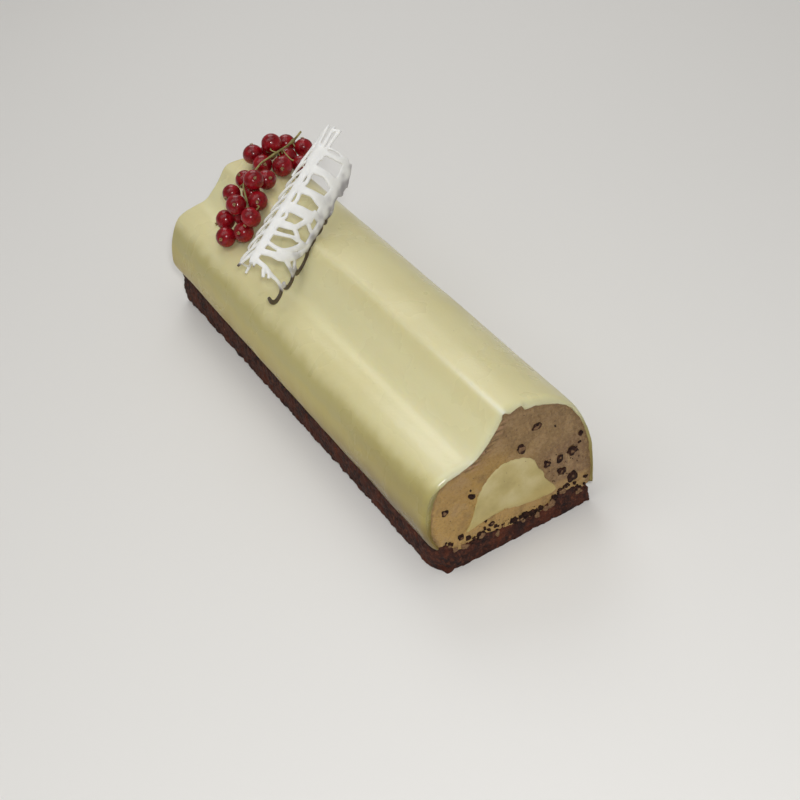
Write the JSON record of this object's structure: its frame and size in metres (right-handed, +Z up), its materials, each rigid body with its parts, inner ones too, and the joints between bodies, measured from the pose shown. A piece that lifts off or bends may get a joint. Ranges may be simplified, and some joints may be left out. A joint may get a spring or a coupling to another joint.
{
  "type": "log cake",
  "caption": "Glazed mousse log cake on a chocolate sponge, cut at one end to show its cream centre, topped with a spray of currants and a curl of white chocolate lace.",
  "frame": {"origin": "centre of the flat underside of the cake", "axes": "+X across the log to the ridge side, +Y along the log from the cut end to the closed end, +Z up"},
  "size_m": [0.086, 0.28, 0.1076],
  "materials": {
    "chocolate_sponge": "rough, crumbly, dark chocolate sponge",
    "coffee_mousse": "cut mousse, fine pores, matt",
    "pale_cream": "cut cream, smooth, matt",
    "ivory_glaze": "poured white chocolate glaze, satin gloss with soft undulations",
    "red_currant": "glossy, slightly translucent berry skin",
    "green_stem": "dull green stalk",
    "white_chocolate": "piped white chocolate, satin"
  },
  "bodies": {
    "root": {"sponge_base": "chocolate_sponge", "mousse": "coffee_mousse", "cream_core": "pale_cream", "glaze": "ivory_glaze", "currant_stem": "green_stem", "lace_curl": "white_chocolate", "currant_01": "red_currant", "currant_02": "red_currant", "currant_03": "red_currant", "currant_04": "red_currant", "currant_05": "red_currant", "currant_06": "red_currant", "currant_07": "red_currant", "currant_08": "red_currant", "currant_09": "red_currant", "currant_10": "red_currant", "currant_11": "red_currant", "currant_12": "red_currant", "currant_13": "red_currant", "currant_14": "red_currant", "currant_15": "red_currant", "currant_16": "red_currant", "currant_17": "red_currant", "currant_18": "red_currant", "currant_19": "red_currant", "currant_20": "red_currant", "currant_21": "red_currant"}
  },
  "joints": []
}
